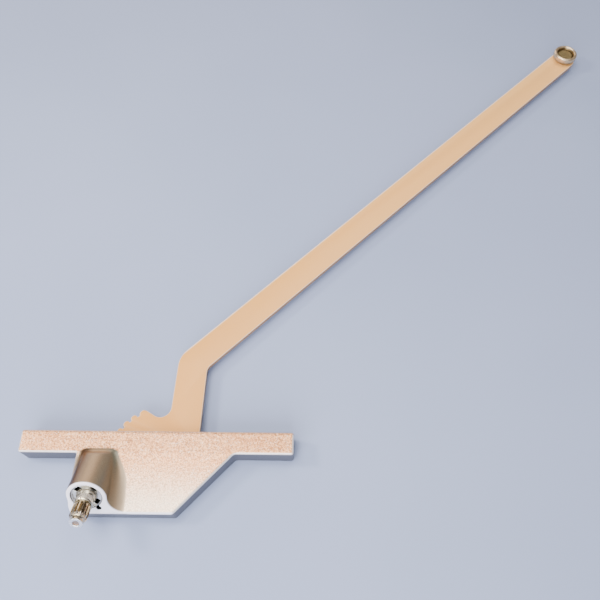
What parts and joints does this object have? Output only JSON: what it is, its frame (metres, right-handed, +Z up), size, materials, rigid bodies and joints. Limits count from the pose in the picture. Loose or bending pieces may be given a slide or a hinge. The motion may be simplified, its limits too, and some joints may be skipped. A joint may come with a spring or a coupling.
{
  "type": "window crank operator",
  "caption": "Worm-driven casement window operator: die-cast housing, splined crank shaft, bent swing arm and end roller.",
  "frame": {"origin": "on the arm's pivot axis at the underside of the housing, on the flat foot of the pivot stud", "axes": "+X along the mounting strip, +Y towards the window sash, +Z up from the underside along the arm's pivot axis"},
  "size_m": [0.3443, 0.344, 0.0322],
  "materials": {
    "cast_housing": "fine metallic champagne paint, satin",
    "arm_paint": "smooth tan paint, satin",
    "zinc_steel": "bright zinc plate",
    "plate_steel": "zinc-plated sheet, dull",
    "bronze": "sintered, oiled",
    "acetal": "natural white",
    "roller_metal": "nickel-brass, bright rim"
  },
  "bodies": {
    "operator_base": {"housing": "cast_housing", "base_plate": "plate_steel", "base_screw_1": "zinc_steel", "base_screw_2": "zinc_steel", "base_screw_3": "zinc_steel", "base_screw_4": "zinc_steel", "pivot_stud": "zinc_steel", "lower_washer": "bronze", "upper_washer": "bronze", "rear_bushing": "bronze", "inner_thrust_washer": "acetal", "outer_thrust_washer": "acetal", "bearing_plug": "zinc_steel", "retaining_ring": "zinc_steel"},
    "swing_arm": {"operator_arm": "arm_paint", "pivot_bushing": "bronze", "roller_washer": "zinc_steel", "roller_stud": "roller_metal"},
    "crank_shaft": {"worm_shaft": "zinc_steel", "shaft_collar": "zinc_steel"},
    "end_roller": {"roller": "roller_metal"}
  },
  "joints": [
    {"name": "arm_swing", "type": "hinge", "parent": "operator_base", "child": "swing_arm", "pos_m": [0, 0, 0.0068], "axis": [0, 0, 1], "range_deg": [-44, 52]},
    {"name": "crank_spin", "type": "hinge", "parent": "operator_base", "child": "crank_shaft", "pos_m": [-0.0286, 0, 0.0068], "axis": [0, -0.848, 0.5299], "range_deg": [-1700, 1450]},
    {"name": "roller_spin", "type": "hinge", "parent": "swing_arm", "child": "end_roller", "pos_m": [0.26635, 0.2979, 0.012], "axis": [0, 0, 1], "continuous": true}
  ],
  "couplings": [
    {"joint": "crank_spin", "follows": "arm_swing", "ratio": -32}
  ]
}
